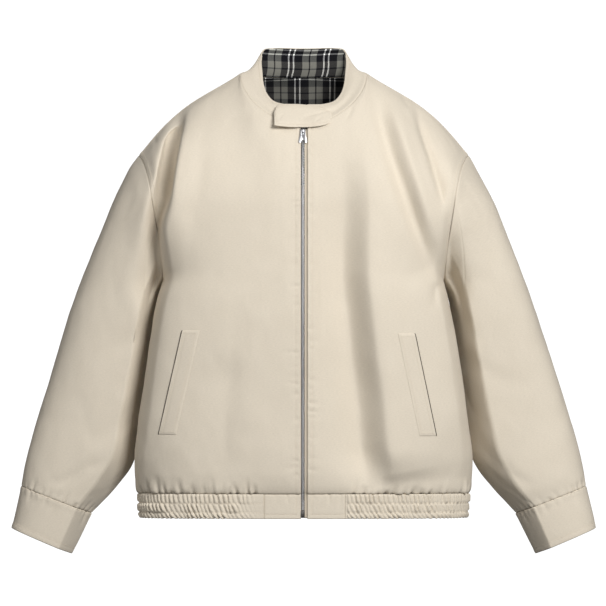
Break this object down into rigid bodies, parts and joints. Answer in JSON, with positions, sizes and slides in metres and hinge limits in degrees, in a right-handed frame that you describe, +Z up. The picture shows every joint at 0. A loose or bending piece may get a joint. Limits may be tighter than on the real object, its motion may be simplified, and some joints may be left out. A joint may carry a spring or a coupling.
{
  "type": "harrington jacket",
  "caption": "Hip-length zip jacket of light cotton, filled out as worn, with a band collar and tab, drop shoulders, slanted welt pockets and a gathered hem.",
  "frame": {"origin": "middle of the neck, level with the ends of the shoulder seams at the collar, where a wearer's neck and shoulders hold the jacket", "axes": "+X to the wearer's left, -Y out of the front, +Z up"},
  "size_m": [0.9052, 0.2495, 0.784],
  "materials": {
    "cotton": "matt cotton twill",
    "tartan_lining": "matt brushed cotton check",
    "zip_tape": "matt woven tape",
    "zip_metal": "satin nickel plate"
  },
  "bodies": {
    "jacket": {"front_left": "cotton", "front_right": "cotton", "back": "cotton", "sleeve_left": "cotton", "sleeve_right": "cotton", "cuff_left": "cotton", "cuff_right": "cotton", "collar": "cotton", "collar_lining": "tartan_lining", "back_lining": "tartan_lining", "collar_tab": "cotton", "hem_elastic": "cotton", "hem_front_left": "cotton", "hem_front_right": "cotton", "pocket_welt_left": "cotton", "pocket_welt_right": "cotton", "zip_tape_left": "zip_tape", "zip_tape_right": "zip_tape", "zip_chain": "zip_metal", "zip_box": "zip_metal", "zip_slider": "zip_metal"},
    "zip_pull": {"zip_pull": "zip_metal"}
  },
  "joints": [
    {"name": "pull_hinge", "type": "hinge", "parent": "jacket", "child": "zip_pull", "pos_m": [-0.0014, -0.08848, -0.09033], "axis": [-1, 0, 0], "range_deg": [0, 120]}
  ]
}
